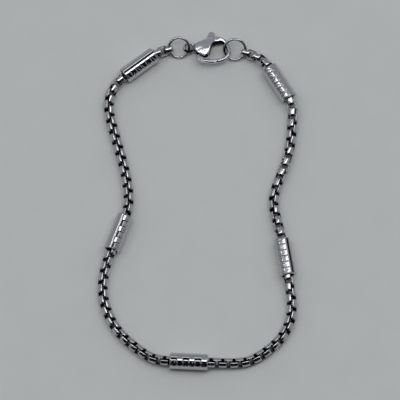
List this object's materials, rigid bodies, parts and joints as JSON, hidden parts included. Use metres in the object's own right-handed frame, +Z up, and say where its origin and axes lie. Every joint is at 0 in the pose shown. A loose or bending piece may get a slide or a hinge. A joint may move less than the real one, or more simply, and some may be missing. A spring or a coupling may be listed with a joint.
{
  "type": "chain bracelet",
  "caption": "Chain bracelet laid down as a closed loop: a round box chain through polished tube beads, closed by a lobster clasp with a sprung lever between jump rings.",
  "frame": {"origin": "middle of the loop's bounding box, on the plane that the bracelet lies on", "axes": "+Z up from that plane, +Y along the loop towards its clasp, +X to the right of the picture"},
  "size_m": [0.0477, 0.0832, 0.0039],
  "materials": {
    "chain_steel": "polished stainless steel",
    "bead_steel": "polished stainless steel with a darkened engraved band",
    "ring_steel": "polished stainless steel wire",
    "clasp_steel": "polished cast stainless steel"
  },
  "bodies": {
    "root": {"chain": "chain_steel", "tube_bead_1": "bead_steel", "tube_bead_2": "bead_steel", "tube_bead_3": "bead_steel", "tube_bead_4": "bead_steel", "tube_bead_5": "bead_steel", "jump_ring_eye": "ring_steel", "jump_ring_hook": "ring_steel", "clasp_body": "clasp_steel", "clasp_pin": "clasp_steel"},
    "lever": {"clasp_lever": "clasp_steel"}
  },
  "joints": [
    {"name": "lever_pivot", "type": "hinge", "parent": "root", "child": "lever", "pos_m": [0.00166, 0.03788, 0.00158], "axis": [0, 0.225, 0.9744], "range_deg": [0, 20], "stiffness_Nm_per_rad": 0.002, "springref_deg": -34.38}
  ]
}
